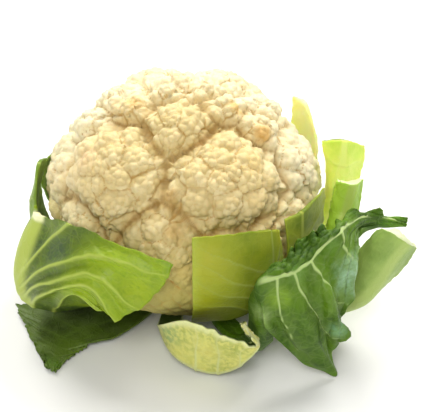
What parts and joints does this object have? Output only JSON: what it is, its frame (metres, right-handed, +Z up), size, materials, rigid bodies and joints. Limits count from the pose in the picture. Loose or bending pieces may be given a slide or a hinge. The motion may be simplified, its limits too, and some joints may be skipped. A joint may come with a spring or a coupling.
{
  "type": "cauliflower",
  "caption": "Trimmed cauliflower: a domed lobed curd on a short cut stem, ringed by wrapper leaves that are cut, curled or folded",
  "frame": {"origin": "middle of the stem's flat cut face, which the head stands on", "axes": "+Z up through the curd; -Y is the front as pictured; +X is to the picture's right"},
  "size_m": [0.2309, 0.1988, 0.1399],
  "materials": {
    "curd": "satin",
    "stem": "satin",
    "leaf_left_wrap": "satin",
    "leaf_front_tucked": "satin",
    "leaf_front_cup": "satin",
    "leaf_front_right": "satin",
    "leaf_right_stub": "satin",
    "leaf_right_upright": "satin",
    "leaf_right_back": "satin",
    "leaf_back_yellow": "satin",
    "leaf_left_back": "satin",
    "leaf_left_floor": "satin",
    "leaf_inner_right": "satin",
    "leaf_outer_back_right": "satin",
    "leaf_outer_back_middle": "satin",
    "leaf_outer_back_left": "satin",
    "leaf_inner_back_right": "satin",
    "leaf_inner_back_left": "satin"
  },
  "bodies": {
    "root": {"curd": "curd", "stem": "stem", "leaf_left_wrap": "leaf_left_wrap", "leaf_front_tucked": "leaf_front_tucked", "leaf_front_cup": "leaf_front_cup", "leaf_front_right": "leaf_front_right", "leaf_right_stub": "leaf_right_stub", "leaf_right_upright": "leaf_right_upright", "leaf_right_back": "leaf_right_back", "leaf_back_yellow": "leaf_back_yellow", "leaf_left_back": "leaf_left_back", "leaf_left_floor": "leaf_left_floor", "leaf_inner_right": "leaf_inner_right", "leaf_outer_back_right": "leaf_outer_back_right", "leaf_outer_back_middle": "leaf_outer_back_middle", "leaf_outer_back_left": "leaf_outer_back_left", "leaf_inner_back_right": "leaf_inner_back_right", "leaf_inner_back_left": "leaf_inner_back_left"}
  },
  "joints": []
}
